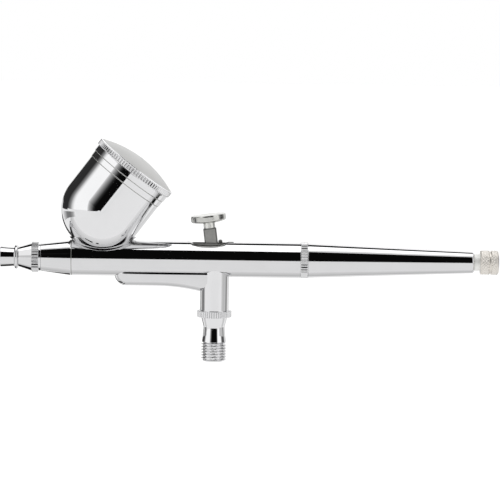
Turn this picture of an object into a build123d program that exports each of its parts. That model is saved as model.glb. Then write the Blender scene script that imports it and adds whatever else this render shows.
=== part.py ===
from build123d import *
from math import cos, radians, sin
import os

# Gravity-feed, double-action airbrush. Millimetres, +X towards the handle, +Z up.
# The origin is the centre of the hose thread's open end, on the valve's upright axis.

# ---- driving dimensions ----
BARREL_Z = 33.2  # height of the barrel's axis above the hose thread's end
BARREL_R = 5.78
BODY_FRONT_X = -56.5
CONE_FRONT_R = 4.51
CONE_END_X = -46.95
BODY_REAR_X = 27.7
SPIGOT_R = 4.6  # threaded tail of the body, inside the handle
SPIGOT_END_X = 34.0
REAR_BORE_R = 3.7
REAR_BORE_FRONT_X = -9.5
FIT = 0.05  # radial play of screwed and sliding fits

SOCKET_R = 3.55  # front socket for the nozzle cap
SOCKET_END_X = -53.0
NOZZLE_THREAD_R = 1.1
CHANNEL_R = 0.8  # needle channel in the body
PACKING_R = 1.85
PACKING_FRONT_X = -24.5
PACKING_REAR_X = -22.5
AIR_CHANNEL_R = 0.6
AIR_CHANNEL_Z = -2.8
AIR_TURN_X = -28.0

CUP_TILT = 37.2  # degrees from upright, towards the handle
CUP_X = -36.5
CUP_Z = 15.85  # centre of the cup's round bottom above the barrel's axis
CUP_R = 13.6
CUP_WALL = 0.8
CUP_RIM = 15.9  # rim, measured along the cup's axis from that centre
CUP_BAND = 2.1  # width of each of the two stepped bands under the rim
CUP_STEPS = (0.15, 0.35)  # how far each band stands out
DRAIN_R = 2.0
COLLAR_OUT = 0.5  # collar thickness outside the cup
COLLAR_UP = 1.1  # collar height above the barrel's surface

LID_R = 14.4
LID_EDGE = 1.95
LID_DOME = 2.9
LID_SKIRT = 2.0
LID_RIBS = 90

FAIRING_R = 3.99
FAIRING_Z = -4.94
FAIRING_NOSE_X = -28.6
FAIRING_FLARE_X = -20.0
FAIRING_DROP = 1.67  # how much lower the fairing reaches where it meets the stem

STEM_R = 4.64
STEM_END_Z = -16.7
PLUNGER_R = 2.5
KNURL_Z = -18.9
KNURL_R = 5.55
KNURL_FLUTES = 44
THREAD_TOP_Z = -26.9
THREAD_CREST_R = 4.06
THREAD_ROOT_R = 3.5
THREAD_PITCH = 0.907  # 28 threads per inch
THREAD_TURNS = 7
INLET_R = 2.4

LEAN = 7.3  # degrees the trigger leans forward at rest
PIVOT_Z = -4.4
STEM_WIDE = 4.2
STEM_THICK = 3.0
SLOT_WIDTH = 3.4
SLOT_FRONT_X = -5.5
SLOT_REAR_X = 6.0
DISH_R = 18.3
DISH_X = -2.1
DISH_DEPTH = 1.4  # lowest point of each side scoop, below the top of the barrel
DISH_LAND = 2.4  # half width of the land left standing between the two scoops
BUTTON_R = 5.7
BUTTON_TOP = 19.0
BUTTON_DISH = 0.6  # depth of the hollow in the button's face

NEEDLE_R = 0.6
NEEDLE_TIP_X = -67.2
NEEDLE_TAIL_X = 63.0
NOZZLE_TIP_X = -65.9
TUBE_R = 2.0
FLANGE_X = 4.2
SPRING_FRONT_X = 5.4
SPRING_REAR_X = 25.0

HANDLE_X = 30.3
HANDLE_R = 5.65
HANDLE_END_X = 84.1
HANDLE_END_R = 3.5
NECK_R = 2.66
KNOB_X = 86.1
KNOB_SPLIT_X = 89.1
KNOB_END_X = 92.1
KNOB_R = 3.91
KNOB_FLUTES = 30
STOP_ROD_R = 1.2
STOP_ROD_X = 66.5

# ---- shared planes and axes; (x, y) on BARREL is (along the barrel, above its axis) ----
BARREL = Plane(origin=(0, 0, BARREL_Z), x_dir=(1, 0, 0), z_dir=(0, -1, 0))
BARREL_AXIS = Axis((0, 0, BARREL_Z), (1, 0, 0))
VALVE_AXIS = Axis((0, 0, 0), (0, 0, 1))

tilt = radians(CUP_TILT)
CUP = Plane(
    origin=(CUP_X, 0, BARREL_Z + CUP_Z),
    x_dir=(cos(tilt), 0, -sin(tilt)),
    z_dir=(0, -1, 0),
)
CUP_AXIS = Axis(CUP.origin, (sin(tilt), 0, cos(tilt)))

lean = radians(LEAN)
TRIGGER = Plane(
    origin=(0, 0, BARREL_Z + PIVOT_Z),
    x_dir=(cos(lean), 0, sin(lean)),
    z_dir=(0, -1, 0),
)
TRIGGER_AXIS = Axis(TRIGGER.origin, (-sin(lean), 0, cos(lean)))

os.makedirs("parts", exist_ok=True)


def spin(points, plane=BARREL, axis=BARREL_AXIS, mode=Mode.ADD):
    """Turn a closed outline of (along, radius) points about an axis, in the part being built."""
    with BuildSketch(plane) as outline:
        with BuildLine():
            Polyline(*points, close=True)
        make_face()
    revolve(outline.sketch, axis=axis, mode=mode)


def tube(x_from, x_to, r_in, r_out, mode=Mode.ADD):
    """A plain ring or rod on the barrel's axis."""
    spin([(x_from, r_in), (x_to, r_in), (x_to, r_out), (x_from, r_out)], mode=mode)


def upright(z_from, z_to, r_in, r_out, mode=Mode.ADD):
    """A plain ring or rod on the valve's axis, with heights from the barrel's axis."""
    spin([(r_in, z_from), (r_in, z_to), (r_out, z_to), (r_out, z_from)], axis=VALVE_AXIS, mode=mode)


def bar(plane, across, along, thickness, mode=Mode.ADD):
    """A bar spanning across and along on a plane, centred on it."""
    with BuildSketch(plane) as face:
        with Locations(((across[0] + across[1]) / 2, (along[0] + along[1]) / 2)):
            Rectangle(across[1] - across[0], along[1] - along[0])
    extrude(face.sketch, amount=thickness / 2, both=True, mode=mode)


def pin_hole(plane, at, radius, length, mode=Mode.ADD):
    """A round pin or hole across a plane."""
    with BuildSketch(plane) as face:
        with Locations(at):
            Circle(radius)
    extrude(face.sketch, amount=length / 2, both=True, mode=mode)


def fluted(plane, r_out, r_in, length, count, flute_r):
    """A ring with straight flutes round its edge, grown from a plane along its normal."""
    with BuildSketch(plane) as face:
        Circle(r_out)
        with PolarLocations(r_out, count):
            Circle(flute_r, mode=Mode.SUBTRACT)
        if r_in:
            Circle(r_in, mode=Mode.SUBTRACT)
    extrude(face.sketch, amount=length)


def across_barrel(x):
    """The plane square to the barrel at x, facing the handle."""
    return Plane(origin=(x, 0, BARREL_Z), x_dir=(0, 1, 0), z_dir=(1, 0, 0))


def coil(start, direction, radius, wire_r, length, pitch):
    """A round-wire spring between two ends, standing half a wire clear of each."""
    with BuildLine() as path:
        Helix(pitch, length, radius, center=start, direction=direction)
    with BuildSketch(Plane(origin=path.line @ 0, z_dir=path.line % 0)) as section:
        Circle(wire_r)
    sweep(section.sketch, path=path.line, is_frenet=True)


def bow(r, r_end, rise):
    """How far a shallow spherical cap of the given rise has fallen at radius r, out of r_end."""
    ball = (r_end**2 + rise**2) / (2 * rise)
    return ball - (ball**2 - r**2) ** 0.5


def save(part, name):
    """Label a finished piece and write it to its own file."""
    part.label = name
    export_step(part, f"parts/{name}.step")


# ---- head ----
NEEDLE_CAP_FRONT_X = -69.7
NEEDLE_CAP_REAR_X = -63.8
BEAD_X = -64.7  # rounded bead at the needle cap's rear
BEAD_R = 3.9
CAP_SPIGOT_R = 2.2
CAP_SPIGOT_X = -66.0
with BuildPart() as needle_cap:
    spin(
        [
            (NEEDLE_CAP_FRONT_X, 2.75),
            (NEEDLE_CAP_FRONT_X + 0.2, 3.32),
            (BEAD_X - 0.4, 3.02),
            (BEAD_X - 0.3, BEAD_R - 0.3),
            (BEAD_X, BEAD_R),
            (BEAD_X + 0.45, BEAD_R),
            (NEEDLE_CAP_REAR_X, BEAD_R - 0.3),
            (NEEDLE_CAP_REAR_X, CAP_SPIGOT_R + FIT),
            (CAP_SPIGOT_X, CAP_SPIGOT_R + FIT),
            (CAP_SPIGOT_X, 1.5),
            (-66.5, 1.5),
            (-67.1, 2.4),
        ]
    )
save(needle_cap.part, "needle_cap")

RING_FRONT_X = -59.4
RING_REAR_X = -57.3
RING_R = 4.84
RING_FLUTES = 28
HEAD_SPIGOT_X = -53.4
with BuildPart() as nozzle_cap:
    spin(
        [
            (CAP_SPIGOT_X, 0.8),
            (CAP_SPIGOT_X, CAP_SPIGOT_R),
            (NEEDLE_CAP_REAR_X, CAP_SPIGOT_R),
            (NEEDLE_CAP_REAR_X, 3.15),
            (RING_FRONT_X, 4.58),
            (RING_REAR_X, 4.42),
            (BODY_FRONT_X, 4.42),
            (BODY_FRONT_X, SOCKET_R - FIT),
            (-55.2, SOCKET_R - FIT),
            (-55.2, 3.05),
            (-54.2, 3.05),
            (-54.2, SOCKET_R - FIT),
            (HEAD_SPIGOT_X, SOCKET_R - FIT),
            (HEAD_SPIGOT_X, 2.6),
            (-59.6, 2.6),
            (-65.0, 0.8),
        ]
    )
    fluted(across_barrel(RING_FRONT_X), RING_R, 4.3, RING_REAR_X - RING_FRONT_X, RING_FLUTES, 0.24)
save(nozzle_cap.part, "nozzle_cap")

with BuildPart() as head_o_ring:
    tube(-55.1, -54.3, 3.1, SOCKET_R - 0.02)
    fillet(head_o_ring.edges(), 0.15)
save(head_o_ring.part, "head_o_ring")

FLANGE_FRONT_X = -54.2
SEAL_X = -53.4
NOZZLE_END_X = -51.0
with BuildPart() as nozzle:
    spin(
        [
            (NOZZLE_TIP_X, 0.15),
            (NOZZLE_TIP_X, 0.42),
            (FLANGE_FRONT_X, 1.6),
            (FLANGE_FRONT_X, 1.95),
            (SEAL_X, 1.95),
            (SEAL_X, NOZZLE_THREAD_R),
            (NOZZLE_END_X, NOZZLE_THREAD_R),
            (NOZZLE_END_X, 0.75),
            (-57.0, 0.75),
        ]
    )
save(nozzle.part, "nozzle")

with BuildPart() as nozzle_seal:
    tube(SEAL_X, SOCKET_END_X, NOZZLE_THREAD_R + FIT, 1.9)
save(nozzle_seal.part, "nozzle_seal")

# ---- body ----
with BuildPart() as main_body:
    spin(
        [
            (BODY_FRONT_X, 0),
            (BODY_FRONT_X, CONE_FRONT_R - 0.15),
            (BODY_FRONT_X + 0.15, CONE_FRONT_R),
            (CONE_END_X, BARREL_R),
            (BODY_REAR_X, BARREL_R),
            (BODY_REAR_X, SPIGOT_R),
            (SPIGOT_END_X, SPIGOT_R),
            (SPIGOT_END_X, 0),
        ]
    )
    tube(BODY_FRONT_X, SOCKET_END_X, 0, SOCKET_R, mode=Mode.SUBTRACT)
    tube(SOCKET_END_X, NOZZLE_END_X, 0, NOZZLE_THREAD_R + FIT, mode=Mode.SUBTRACT)
    tube(NOZZLE_END_X, PACKING_FRONT_X, 0, CHANNEL_R, mode=Mode.SUBTRACT)
    tube(PACKING_FRONT_X, REAR_BORE_FRONT_X, 0, PACKING_R + FIT, mode=Mode.SUBTRACT)
    tube(REAR_BORE_FRONT_X, SPIGOT_END_X, 0, REAR_BORE_R, mode=Mode.SUBTRACT)
    with Locations(CUP.origin):
        Sphere(CUP_R, mode=Mode.SUBTRACT)
    with BuildSketch(Plane.XY.offset(BARREL_Z)):
        with Locations((CUP_X, 0)):
            Circle(DRAIN_R)
    extrude(amount=CUP_Z - CUP_R + 0.5, mode=Mode.SUBTRACT)
    bar(BARREL, (SLOT_FRONT_X, SLOT_REAR_X), (0, BARREL_R + 1), SLOT_WIDTH, mode=Mode.SUBTRACT)
    for side in (-1, 1):
        with BuildSketch(BARREL.offset(side * DISH_LAND)) as scoop:
            with Locations((DISH_X, BARREL_R - DISH_DEPTH + DISH_R)):
                Circle(DISH_R)
        extrude(scoop.sketch, amount=side * BARREL_R, mode=Mode.SUBTRACT)
    upright(-BARREL_R - 1, 0, 0, PLUNGER_R + FIT, mode=Mode.SUBTRACT)
    with BuildSketch(across_barrel(SOCKET_END_X)):
        with Locations((0, AIR_CHANNEL_Z)):
            Circle(AIR_CHANNEL_R)
    extrude(amount=AIR_TURN_X - SOCKET_END_X, mode=Mode.SUBTRACT)
    with BuildSketch(Plane.XY.offset(BARREL_Z + AIR_CHANNEL_Z)):
        with Locations((AIR_TURN_X, 0)):
            Circle(AIR_CHANNEL_R)
    extrude(amount=-BARREL_R, mode=Mode.SUBTRACT)
save(main_body.part, "main_body")

with BuildPart() as needle_packing:
    tube(PACKING_FRONT_X, PACKING_REAR_X, NEEDLE_R + 0.02, PACKING_R)
save(needle_packing.part, "needle_packing")

with BuildPart() as packing_screw:
    tube(PACKING_REAR_X, -17.0, NEEDLE_R + FIT, PACKING_R)
    bar(BARREL, (-17.8, -16.5), (-PACKING_R - 1, PACKING_R + 1), 0.6, mode=Mode.SUBTRACT)
save(packing_screw.part, "packing_screw")

# ---- cup, collar and lid; outlines on the CUP plane are (radius, along the cup's axis) ----
with BuildPart() as paint_cup:
    band_2 = CUP_RIM - CUP_BAND
    band_1 = band_2 - CUP_BAND
    inside = CUP_R - CUP_WALL
    diagonal = radians(45)
    with BuildSketch(CUP):
        with BuildLine():
            ThreePointArc((0, -CUP_R), (CUP_R * sin(diagonal), -CUP_R * cos(diagonal)), (CUP_R, 0))
            Polyline(
                (CUP_R, 0),
                (CUP_R, band_1),
                (CUP_R + CUP_STEPS[0], band_1 + 0.1),
                (CUP_R + CUP_STEPS[0], band_2),
                (CUP_R + CUP_STEPS[1], band_2 + 0.1),
                (CUP_R + CUP_STEPS[1], CUP_RIM),
                (inside, CUP_RIM),
                (inside, 0),
            )
            ThreePointArc((inside, 0), (inside * sin(diagonal), -inside * cos(diagonal)), (0, -inside))
            Line((0, -inside), (0, -CUP_R))
        make_face()
    revolve(axis=CUP_AXIS)
    with BuildSketch(Plane.XY.offset(BARREL_Z)):
        with Locations((CUP_X, 0)):
            Circle(DRAIN_R)
    extrude(amount=CUP_Z, mode=Mode.SUBTRACT)
save(paint_cup.part, "paint_cup")

with BuildPart() as cup_collar:
    tube(CUP_X - CUP_R, CUP_X + CUP_R, BARREL_R, BARREL_R + COLLAR_UP)
    with Locations(CUP.origin):
        Sphere(CUP_R + COLLAR_OUT, mode=Mode.INTERSECT)
        Sphere(CUP_R, mode=Mode.SUBTRACT)
save(cup_collar.part, "cup_collar")

with BuildPart() as cup_lid:
    skirt_r = CUP_R - CUP_WALL - 0.3
    dome_r = LID_R - 0.4
    hollow_r = skirt_r - 0.7
    edge_top = CUP_RIM + LID_EDGE
    crown = edge_top + LID_DOME
    ceiling = crown - 0.9
    hollow_rise = ceiling - CUP_RIM - 0.9
    with BuildSketch(CUP):
        with BuildLine():
            Polyline(
                (dome_r, edge_top),
                (dome_r, CUP_RIM),
                (skirt_r, CUP_RIM),
                (skirt_r, CUP_RIM - LID_SKIRT),
                (hollow_r, CUP_RIM - LID_SKIRT),
                (hollow_r, ceiling - hollow_rise),
            )
            ThreePointArc(
                (hollow_r, ceiling - hollow_rise),
                (hollow_r / 2, ceiling - bow(hollow_r / 2, hollow_r, hollow_rise)),
                (0, ceiling),
            )
            Line((0, ceiling), (0, crown))
            dome_middle = (dome_r / 2, crown - bow(dome_r / 2, dome_r, LID_DOME))
            ThreePointArc((0, crown), dome_middle, (dome_r, edge_top))
        make_face()
    revolve(axis=CUP_AXIS)
    lid_plane = Plane(origin=CUP.origin + Vector(CUP_AXIS.direction) * CUP_RIM, z_dir=CUP_AXIS.direction)
    fluted(lid_plane, LID_R, skirt_r + 0.8, LID_EDGE, LID_RIBS, 0.17)
    with BuildSketch(lid_plane):
        Circle(0.6)
    extrude(amount=LID_EDGE + LID_DOME, mode=Mode.SUBTRACT)
save(cup_lid.part, "cup_lid")

# ---- air passage and valve ----
AIR_PASSAGE_Z = FAIRING_Z - 2.3


def fairing_section(x, centre_z):
    """The fairing's lower half at x: upright sides over a half circle."""
    with BuildSketch(across_barrel(x)) as section:
        with BuildLine():
            Line((-FAIRING_R, centre_z), (-FAIRING_R, FAIRING_Z + FIT))
            Line((-FAIRING_R, FAIRING_Z + FIT), (FAIRING_R, FAIRING_Z + FIT))
            Line((FAIRING_R, FAIRING_Z + FIT), (FAIRING_R, centre_z))
            ThreePointArc((FAIRING_R, centre_z), (0, centre_z - FAIRING_R), (-FAIRING_R, centre_z))
        make_face()
    return section.sketch


flare = []
for share in (0.0, 0.25, 0.5, 0.75, 1.0):
    flare_x = FAIRING_FLARE_X + share * (-STEM_R - FAIRING_FLARE_X)
    flare.append(fairing_section(flare_x, FAIRING_Z - FAIRING_DROP * share**2.2))
with BuildPart() as air_fairing:
    loft(flare)
    extrude(flare[-1], amount=STEM_R)
    with BuildSketch(across_barrel(FAIRING_NOSE_X)):
        with Locations((0, FAIRING_Z)):
            Circle(FAIRING_R)
    extrude(amount=-FAIRING_NOSE_X)
    with Locations((FAIRING_NOSE_X, 0, BARREL_Z + FAIRING_Z)):
        Sphere(FAIRING_R)
    tube(-60, 10, 0, BARREL_R, mode=Mode.SUBTRACT)
    upright(-20, 0, 0, STEM_R, mode=Mode.SUBTRACT)
    with BuildSketch(across_barrel(AIR_TURN_X)):
        with Locations((0, AIR_PASSAGE_Z)):
            Circle(AIR_CHANNEL_R)
    extrude(amount=-AIR_TURN_X, mode=Mode.SUBTRACT)
    with BuildSketch(Plane.XY.offset(BARREL_Z)):
        with Locations((AIR_TURN_X, 0)):
            Circle(AIR_CHANNEL_R)
    extrude(amount=AIR_PASSAGE_Z, mode=Mode.SUBTRACT)
save(air_fairing.part, "air_fairing")

GLAND_Z = -7.9
WEB_Z = -9.1
CHAMBER_Z = -9.8
SEAT_Z = -11.4
SEAT_FACE_Z = -12.4
SPRING_TOP_Z = -14.2
SPRING_SCREW_Z = -21.0
PLUG_Z = -12.9
CHAMBER_R = 3.35
ROD_R = 0.85
with BuildPart() as valve_stem:
    upright(STEM_END_Z, -3.0, 0, STEM_R)
    tube(-10, 10, 0, BARREL_R, mode=Mode.SUBTRACT)
    upright(GLAND_Z, 0, 0, PLUNGER_R + FIT, mode=Mode.SUBTRACT)
    upright(WEB_Z, GLAND_Z, 0, 1.95, mode=Mode.SUBTRACT)
    upright(CHAMBER_Z, WEB_Z, 0, ROD_R + 0.1, mode=Mode.SUBTRACT)
    upright(STEM_END_Z, CHAMBER_Z, 0, CHAMBER_R, mode=Mode.SUBTRACT)
    with BuildSketch(Plane.XY.offset(BARREL_Z + AIR_PASSAGE_Z)):
        with Locations((-3.5, 0)):
            Circle(AIR_CHANNEL_R)
    extrude(amount=CHAMBER_Z - AIR_PASSAGE_Z - AIR_CHANNEL_R, mode=Mode.SUBTRACT)
    with BuildSketch(across_barrel(-STEM_R)):
        with Locations((0, AIR_PASSAGE_Z)):
            Circle(AIR_CHANNEL_R)
    extrude(amount=STEM_R - 3.5, mode=Mode.SUBTRACT)
save(valve_stem.part, "valve_stem")

thread_outline = []
for turn in range(THREAD_TURNS):
    crest_z = THREAD_TOP_Z - 0.4 - turn * THREAD_PITCH
    thread_outline += [
        (THREAD_ROOT_R, crest_z + 0.38),
        (THREAD_CREST_R, crest_z + 0.08),
        (THREAD_CREST_R, crest_z - 0.08),
        (THREAD_ROOT_R, crest_z - 0.38),
    ]
with BuildPart() as hose_connector:
    spin(
        [
            (1.3, SEAT_Z),
            (CHAMBER_R - FIT, SEAT_Z),
            (CHAMBER_R - FIT, STEM_END_Z),
            (KNURL_R - 0.25, STEM_END_Z),
            (KNURL_R - 0.25, KNURL_Z),
            (4.25, KNURL_Z),
            (3.77, -20.8),
            (3.44, -22.4),
            (3.44, -23.0),
            (3.57, -25.0),
            (3.95, THREAD_TOP_Z + 0.1),
            (3.9, THREAD_TOP_Z),
        ]
        + thread_outline
        + [
            (THREAD_ROOT_R, -BARREL_Z),
            (INLET_R, -BARREL_Z),
            (INLET_R, SEAT_FACE_Z),
            (1.3, SEAT_FACE_Z),
        ],
        axis=VALVE_AXIS,
    )
    knurl_height = STEM_END_Z - KNURL_Z
    fluted(Plane.XY.offset(BARREL_Z + KNURL_Z), KNURL_R, 4.0, knurl_height, KNURL_FLUTES, 0.2)
save(hose_connector.part, "hose_connector")

with BuildPart() as plunger_o_ring:
    upright(WEB_Z + 0.05, GLAND_Z - 0.15, ROD_R + 0.03, 1.9)
    fillet(plunger_o_ring.edges(), 0.2)
save(plunger_o_ring.part, "plunger_o_ring")

ROD_END_Z = -11.9
HEAD_TOP_Z = -3.4
HEAD_END_Z = -6.0
TONGUE = 1.3
with BuildPart() as air_plunger:
    upright(HEAD_END_Z, HEAD_TOP_Z, 0, PLUNGER_R)
    upright(ROD_END_Z, HEAD_END_Z, 0, ROD_R)
    bar(BARREL, (-PLUNGER_R - 1, PLUNGER_R + 1), (HEAD_END_Z + 0.3, 0), TONGUE + 0.2, mode=Mode.SUBTRACT)
    pin_hole(BARREL, (0, PIVOT_Z), 0.5, 4 * PLUNGER_R, mode=Mode.SUBTRACT)
save(air_plunger.part, "air_plunger")

with BuildPart() as trigger_pin:
    pin_hole(BARREL, (0, PIVOT_Z), 0.5, 4.6)
save(trigger_pin.part, "trigger_pin")

with BuildPart() as valve_plug:
    upright(SPRING_TOP_Z, PLUG_Z, 0, 1.9)
    upright(PLUG_Z, ROD_END_Z, 0, 0.7)
    upright(-17.5, SPRING_TOP_Z, 0, 0.8)
save(valve_plug.part, "valve_plug")

with BuildPart() as valve_seal:
    upright(PLUG_Z, SEAT_FACE_Z, 0.72, 1.85)
save(valve_seal.part, "valve_seal")

with BuildPart() as valve_spring:
    spring_start = (0, 0, BARREL_Z + SPRING_SCREW_Z + 0.3)
    coil(spring_start, (0, 0, 1), 1.5, 0.25, SPRING_TOP_Z - SPRING_SCREW_Z - 0.6, 1.05)
save(valve_spring.part, "valve_spring")

with BuildPart() as valve_spring_screw:
    upright(-24.0, SPRING_SCREW_Z, 0.9, INLET_R - 0.03)
    bar(BARREL, (-INLET_R - 1, INLET_R + 1), (-24.5, -23.2), 0.7, mode=Mode.SUBTRACT)
save(valve_spring_screw.part, "valve_spring_screw")

# ---- trigger and lever; on the TRIGGER plane (x, y) is (across, up from the pivot) ----
STEP_UP = 14.5
UNDERSIDE_UP = 16.3  # underside of the finger button
BAR_FOOT = 3.9
with BuildPart() as trigger_stem:
    bar(TRIGGER, (-STEM_WIDE / 2, STEM_WIDE / 2), (BAR_FOOT, STEP_UP), STEM_THICK)
    chamfer(trigger_stem.edges().filter_by(Axis(TRIGGER.origin, TRIGGER_AXIS.direction)), 0.3)
    bar(TRIGGER, (-1.3, 1.3), (1.5, BAR_FOOT), STEM_THICK)
    bar(TRIGGER, (-1.1, 1.1), (0, 1.5), TONGUE)
    pin_hole(TRIGGER, (0, 0), 1.1, TONGUE)
    pin_hole(TRIGGER, (0, 0), 0.5 + FIT, 2 * TONGUE, mode=Mode.SUBTRACT)
    neck_r = 1.85
    neck = [
        (0, STEP_UP),
        (neck_r, STEP_UP),
        (neck_r, UNDERSIDE_UP),
        (1.0, UNDERSIDE_UP),
        (1.0, 17.7),
        (0, 17.7),
    ]
    spin(neck, TRIGGER, TRIGGER_AXIS)
    bar(TRIGGER, (-3, 3), (3.0, 7.5), 1.8, mode=Mode.SUBTRACT)
save(trigger_stem.part, "trigger_stem")

with BuildPart() as trigger_button:
    dish_r = BUTTON_R - 0.35
    dish_floor = BUTTON_TOP - BUTTON_DISH
    dish_mid = dish_floor + bow(dish_r / 2, dish_r, BUTTON_DISH)
    rim_top = BUTTON_TOP - 0.35
    with BuildSketch(TRIGGER):
        with BuildLine():
            Line((1.0 + FIT, UNDERSIDE_UP), (2.3, UNDERSIDE_UP))
            ThreePointArc((2.3, UNDERSIDE_UP), (4.1, UNDERSIDE_UP + 0.15), (BUTTON_R, UNDERSIDE_UP + 0.65))
            Line((BUTTON_R, UNDERSIDE_UP + 0.65), (BUTTON_R, rim_top))
            ThreePointArc((BUTTON_R, rim_top), (BUTTON_R - 0.1, BUTTON_TOP - 0.1), (dish_r, BUTTON_TOP))
            ThreePointArc((dish_r, BUTTON_TOP), (dish_r / 2, dish_mid), (0, dish_floor))
            Polyline((0, dish_floor), (0, 17.75), (1.0 + FIT, 17.75), (1.0 + FIT, UNDERSIDE_UP))
        make_face()
    revolve(axis=TRIGGER_AXIS)
save(trigger_button.part, "trigger_button")

LEVER_FRONT = STEM_WIDE / 2 + 0.2
LEVER_BACK = LEVER_FRONT + 1.3
LEVER_PIN = (LEVER_FRONT + 0.65, 6.175)
LEVER_TOP = 10.4
with BuildPart() as auxiliary_lever:
    bar(TRIGGER, (LEVER_FRONT, LEVER_BACK), (1.3, LEVER_TOP), 2.9)
    chamfer(auxiliary_lever.edges().filter_by(Axis.Y), 0.35)
    bar(TRIGGER, (LEVER_FRONT - 1, LEVER_BACK + 1), (3.1, 5.3), 1.6, mode=Mode.SUBTRACT)
    pin_hole(TRIGGER, LEVER_PIN, 0.45 + FIT, 6, mode=Mode.SUBTRACT)
save(auxiliary_lever.part, "auxiliary_lever")

with BuildPart() as lever_pin:
    pin_hole(TRIGGER, LEVER_PIN, 0.45, 4.1)
save(lever_pin.part, "lever_pin")

# ---- needle train ----
with BuildPart() as needle:
    spin(
        [
            (NEEDLE_TIP_X, 0),
            (NEEDLE_TIP_X, 0.03),
            (-56.0, NEEDLE_R),
            (NEEDLE_TAIL_X - 0.4, NEEDLE_R),
            (NEEDLE_TAIL_X, 0.35),
            (NEEDLE_TAIL_X, 0),
        ]
    )
save(needle.part, "needle")

TUBE_END_X = 43.5
EAR_Z = (1.3, 2.85)
with BuildPart() as needle_tube:
    tube(FLANGE_X, SPRING_FRONT_X, 0.65, 3.45)
    tube(SPRING_FRONT_X, TUBE_END_X, 0.65, TUBE_R)
    bar(BARREL, (1.3, FLANGE_X), EAR_Z, 4.1)
    bar(BARREL, (0, FLANGE_X), (0, 4), 3.2, mode=Mode.SUBTRACT)
    pin_hole(TRIGGER, LEVER_PIN, 0.45, 8, mode=Mode.SUBTRACT)
save(needle_tube.part, "needle_tube")

CHUCK_X = 38.4
with BuildPart() as chuck_nut:
    spin(
        [
            (CHUCK_X, TUBE_R + 0.02),
            (CHUCK_X, 2.6),
            (45.6, 2.6),
            (46.4, 1.8),
            (46.4, 0.65),
            (TUBE_END_X, 0.65),
            (TUBE_END_X, TUBE_R + 0.02),
        ]
    )
    fluted(across_barrel(39.5), 2.9, 2.3, 5.0, 24, 0.15)
save(chuck_nut.part, "chuck_nut")

with BuildPart() as needle_spring:
    spring_length = SPRING_REAR_X - SPRING_FRONT_X - 0.7
    coil((SPRING_FRONT_X + 0.35, 0, BARREL_Z), (1, 0, 0), 2.7, 0.28, spring_length, 1.55)
save(needle_spring.part, "needle_spring")

CASE_X = 19.0
CASE_END_X = 37.0
with BuildPart() as spring_case:
    spin(
        [
            (CASE_X, 3.25),
            (CASE_X, REAR_BORE_R - FIT),
            (SPIGOT_END_X, REAR_BORE_R - FIT),
            (SPIGOT_END_X, 4.1),
            (CASE_END_X, 4.1),
            (CASE_END_X, TUBE_R + 0.06),
            (SPRING_REAR_X, TUBE_R + 0.06),
            (SPRING_REAR_X, 3.25),
        ]
    )
save(spring_case.part, "spring_case")

# ---- handle end ----
with BuildPart() as rear_ring:
    fluted(across_barrel(BODY_REAR_X), BARREL_R, SPIGOT_R + FIT, HANDLE_X - BODY_REAR_X, 40, 0.16)
save(rear_ring.part, "rear_ring")

COUNTERBORE_X = 81.2
COUNTERBORE_R = 2.75
with BuildPart() as handle:
    spin(
        [
            (HANDLE_X, SPIGOT_R + FIT),
            (HANDLE_X, HANDLE_R - 0.1),
            (HANDLE_X + 0.1, HANDLE_R),
            (HANDLE_END_X - 0.9, HANDLE_END_R + 0.03),
            (HANDLE_END_X - 0.3, HANDLE_END_R - 0.12),
            (HANDLE_END_X, HANDLE_END_R - 0.45),
            (HANDLE_END_X, COUNTERBORE_R),
            (COUNTERBORE_X, COUNTERBORE_R),
            (COUNTERBORE_X, STOP_ROD_R + FIT),
            (74.0, STOP_ROD_R + FIT),
            (74.0, 2.3),
            (52.0, 2.3),
            (52.0, 3.5),
            (37.6, 3.5),
            (37.6, 4.3),
            (34.2, 4.3),
            (34.2, SPIGOT_R + FIT),
        ]
    )
save(handle.part, "handle")

GROOVE = (83.2, 83.9)
KNOB_SPIGOT_R = 1.6
with BuildPart() as stop_screw:
    spin(
        [
            (STOP_ROD_X, 0),
            (STOP_ROD_X, 0.9),
            (STOP_ROD_X + 0.3, STOP_ROD_R),
            (82.9, STOP_ROD_R),
            (82.9, NECK_R),
            (GROOVE[0], NECK_R),
            (GROOVE[0], 2.0),
            (GROOVE[1], 2.0),
            (GROOVE[1], NECK_R),
            (KNOB_X, NECK_R),
            (KNOB_X, KNOB_SPIGOT_R),
            (90.5, KNOB_SPIGOT_R),
            (90.5, 0),
        ]
    )
save(stop_screw.part, "stop_screw")

with BuildPart() as stop_o_ring:
    tube(GROOVE[0] + 0.05, GROOVE[1] - 0.05, 2.05, COUNTERBORE_R - FIT)
    fillet(stop_o_ring.edges(), 0.15)
save(stop_o_ring.part, "stop_o_ring")

with BuildPart() as lock_ring:
    fluted(across_barrel(KNOB_X), KNOB_R, KNOB_SPIGOT_R + 0.02, KNOB_SPLIT_X - KNOB_X, KNOB_FLUTES, 0.2)
save(lock_ring.part, "lock_ring")

KNOB_GRIP_X = KNOB_SPLIT_X + 0.5
KNOB_BEVEL_X = KNOB_END_X - 0.35
with BuildPart() as stop_knob:
    fluted(across_barrel(KNOB_GRIP_X), KNOB_R, 0, KNOB_BEVEL_X - KNOB_GRIP_X, KNOB_FLUTES, 0.2)
    tube(KNOB_SPLIT_X, KNOB_GRIP_X, 0, 3.62)
    spin(
        [
            (KNOB_BEVEL_X, 0),
            (KNOB_BEVEL_X, KNOB_R - 0.25),
            (KNOB_END_X, KNOB_R - 0.6),
            (KNOB_END_X, 0),
        ]
    )
    tube(KNOB_SPLIT_X, 90.6, 0, KNOB_SPIGOT_R + 0.02, mode=Mode.SUBTRACT)
save(stop_knob.part, "stop_knob")
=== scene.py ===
"""Builds a gravity-feed airbrush and its studio around the measured model."""

import math

import bpy
import numpy as np
from bpy.props import FloatProperty, FloatVectorProperty, PointerProperty
from mathutils import Matrix, Vector


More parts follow.
